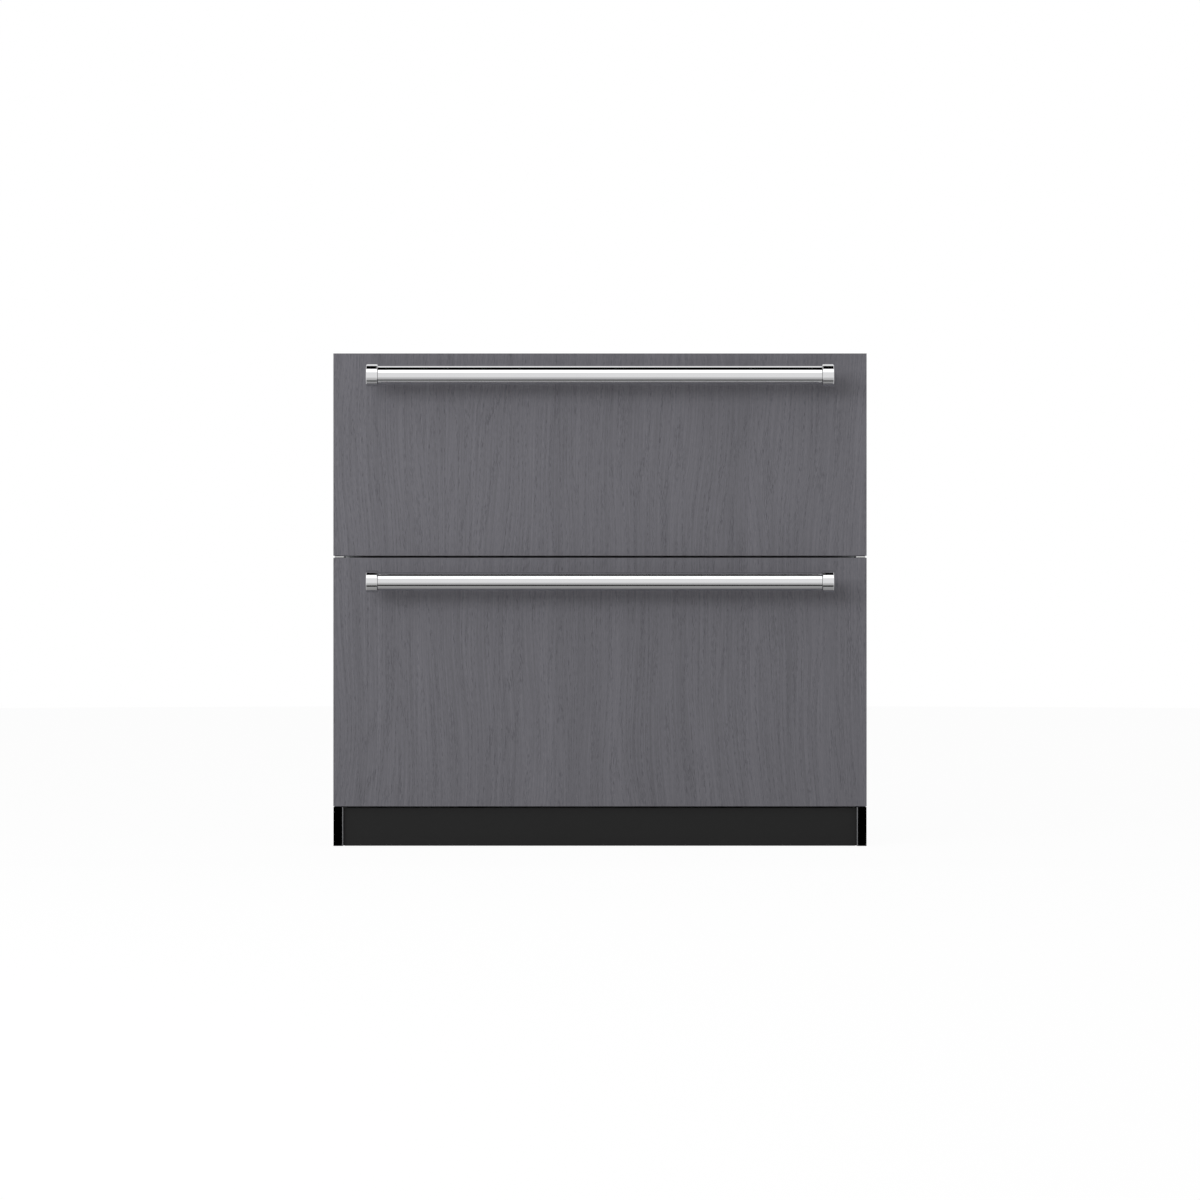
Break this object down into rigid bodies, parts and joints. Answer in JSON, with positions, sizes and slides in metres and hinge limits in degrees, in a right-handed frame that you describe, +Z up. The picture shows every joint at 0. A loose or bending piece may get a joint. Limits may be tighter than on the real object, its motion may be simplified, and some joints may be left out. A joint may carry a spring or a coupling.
{
  "type": "undercounter drawer refrigerator",
  "caption": "Built-in undercounter refrigerator: an insulated cabinet on levelling feet with wood-fronted drawers on ball slides, tube handles, dividers and a rear cooling unit.",
  "frame": {"origin": "on the floor, in the middle of the whole box from the handles' front to the cabinet's back", "axes": "+X across the front to the right, -Y out of the front, +Z up"},
  "size_m": [0.912, 0.6887, 0.8425],
  "materials": {
    "stained_oak": "grey-stained open-pored oak, matt",
    "polished_steel": "polished stainless steel",
    "cabinet_sheet": "satin grey painted steel",
    "galvanised_sheet": "bare galvanised steel",
    "door_sheet": "satin grey painted steel",
    "rail_steel": "zinc-plated rolled steel",
    "cage_brass": "pressed cage with bright balls",
    "liner_plastic": "smooth white liner",
    "tub_plastic": "pale grey moulding",
    "divider_plastic": "clear acrylic with polished edges",
    "foam": "open cut foam",
    "gasket_rubber": "soft matt rubber",
    "plinth_black": "matt black paint",
    "kick_black": "satin charcoal paint",
    "trim_aluminium": "anodised strip",
    "black_plastic": "fine-grained moulding",
    "control_glass": "black glass front",
    "light_diffuser": "milky diffuser",
    "foot_steel": "zinc-plated steel",
    "compressor_black": "semi-gloss black paint",
    "coil_metal": "bare fins and tubes",
    "condenser_black": "black painted tubes and fins",
    "copper": "drawn copper tube",
    "fan_plastic": "white moulding",
    "drain_plastic": "grey moulding"
  },
  "bodies": {
    "cabinet": {"cabinet_shell": "cabinet_sheet", "base_pan": "galvanised_sheet", "back_panel": "galvanised_sheet", "machine_bulkhead": "galvanised_sheet", "front_frame": "door_sheet", "upper_liner": "liner_plastic", "lower_liner": "liner_plastic", "insulation_foam": "foam", "evaporator_cover": "liner_plastic", "evaporator_coil": "coil_metal", "evaporator_fan_housing": "black_plastic", "control_panel": "black_plastic", "control_glass": "control_glass", "led_lights": "light_diffuser", "machine_cover": "galvanised_sheet", "compressor": "compressor_black", "condenser": "condenser_black", "condenser_fan_housing": "black_plastic", "refrigerant_lines": "copper", "condensate_drain": "drain_plastic", "cord_gland": "black_plastic", "kick_plate": "kick_black", "kick_returns": "plinth_black", "kick_trim_strips": "trim_aluminium", "kick_brackets": "galvanised_sheet", "fixing_ears": "galvanised_sheet", "fixed_rails": "rail_steel", "soft_close_units": "black_plastic"},
    "evaporator_rotor": {"evaporator_fan": "fan_plastic"},
    "condenser_rotor": {"condenser_fan": "fan_plastic"},
    "upper_drawer": {"upper_front_panel": "stained_oak", "upper_door_shell": "door_sheet", "upper_door_foam": "foam", "upper_door_liner": "liner_plastic", "upper_gasket": "gasket_rubber", "upper_tub": "tub_plastic", "upper_arms": "rail_steel", "upper_handle_bar": "polished_steel", "upper_handle_posts": "polished_steel"},
    "upper_mid_slides": {"upper_mid_rails": "rail_steel"},
    "upper_outer_cages": {"upper_outer_balls": "cage_brass"},
    "upper_inner_cages": {"upper_inner_balls": "cage_brass"},
    "upper_divider": {"upper_divider": "divider_plastic"},
    "lower_drawer": {"lower_front_panel": "stained_oak", "lower_door_shell": "door_sheet", "lower_door_foam": "foam", "lower_door_liner": "liner_plastic", "lower_gasket": "gasket_rubber", "lower_tub": "tub_plastic", "lower_arms": "rail_steel", "lower_handle_bar": "polished_steel", "lower_handle_posts": "polished_steel"},
    "lower_mid_slides": {"lower_mid_rails": "rail_steel"},
    "lower_outer_cages": {"lower_outer_balls": "cage_brass"},
    "lower_inner_cages": {"lower_inner_balls": "cage_brass"},
    "lower_divider": {"lower_divider": "divider_plastic"},
    "front_left_foot": {"foot_front_left": "foot_steel"},
    "front_right_foot": {"foot_front_right": "foot_steel"},
    "rear_left_foot": {"foot_rear_left": "foot_steel"},
    "rear_right_foot": {"foot_rear_right": "foot_steel"}
  },
  "joints": [
    {"name": "evaporator_fan_spin", "type": "hinge", "parent": "cabinet", "child": "evaporator_rotor", "pos_m": [0.2905, 0.255, 0.67], "axis": [0, 1, 0], "continuous": true},
    {"name": "condenser_fan_spin", "type": "hinge", "parent": "cabinet", "child": "condenser_rotor", "pos_m": [-0.1, 0.25938, 0.1405], "axis": [1, 0, 0], "continuous": true},
    {"name": "upper_drawer_slide", "type": "slide", "parent": "cabinet", "child": "upper_drawer", "axis": [0, -1, 0], "range_m": [0, 0.41]},
    {"name": "upper_mid_slides_travel", "type": "slide", "parent": "cabinet", "child": "upper_mid_slides", "axis": [0, -1, 0], "range_m": [0, 0.205]},
    {"name": "upper_outer_cages_travel", "type": "slide", "parent": "cabinet", "child": "upper_outer_cages", "axis": [0, -1, 0], "range_m": [0, 0.1025]},
    {"name": "upper_inner_cages_travel", "type": "slide", "parent": "cabinet", "child": "upper_inner_cages", "axis": [0, -1, 0], "range_m": [0, 0.3075]},
    {"name": "upper_divider_slide", "type": "slide", "parent": "upper_drawer", "child": "upper_divider", "axis": [1, 0, 0], "range_m": [-0.22, 0.48]},
    {"name": "lower_drawer_slide", "type": "slide", "parent": "cabinet", "child": "lower_drawer", "axis": [0, -1, 0], "range_m": [0, 0.41]},
    {"name": "lower_mid_slides_travel", "type": "slide", "parent": "cabinet", "child": "lower_mid_slides", "axis": [0, -1, 0], "range_m": [0, 0.205]},
    {"name": "lower_outer_cages_travel", "type": "slide", "parent": "cabinet", "child": "lower_outer_cages", "axis": [0, -1, 0], "range_m": [0, 0.1025]},
    {"name": "lower_inner_cages_travel", "type": "slide", "parent": "cabinet", "child": "lower_inner_cages", "axis": [0, -1, 0], "range_m": [0, 0.3075]},
    {"name": "lower_divider_slide", "type": "slide", "parent": "lower_drawer", "child": "lower_divider", "axis": [1, 0, 0], "range_m": [-0.46, 0.24]},
    {"name": "front_left_foot_screw", "type": "slide", "parent": "cabinet", "child": "front_left_foot", "axis": [0, 0, -1], "range_m": [0, 0.03]},
    {"name": "front_right_foot_screw", "type": "slide", "parent": "cabinet", "child": "front_right_foot", "axis": [0, 0, -1], "range_m": [0, 0.03]},
    {"name": "rear_left_foot_screw", "type": "slide", "parent": "cabinet", "child": "rear_left_foot", "axis": [0, 0, -1], "range_m": [0, 0.03]},
    {"name": "rear_right_foot_screw", "type": "slide", "parent": "cabinet", "child": "rear_right_foot", "axis": [0, 0, -1], "range_m": [0, 0.03]}
  ],
  "couplings": [
    {"joint": "upper_mid_slides_travel", "follows": "upper_drawer_slide", "ratio": 0.5},
    {"joint": "upper_outer_cages_travel", "follows": "upper_drawer_slide", "ratio": 0.25},
    {"joint": "upper_inner_cages_travel", "follows": "upper_drawer_slide", "ratio": 0.75},
    {"joint": "lower_mid_slides_travel", "follows": "lower_drawer_slide", "ratio": 0.5},
    {"joint": "lower_outer_cages_travel", "follows": "lower_drawer_slide", "ratio": 0.25},
    {"joint": "lower_inner_cages_travel", "follows": "lower_drawer_slide", "ratio": 0.75}
  ]
}
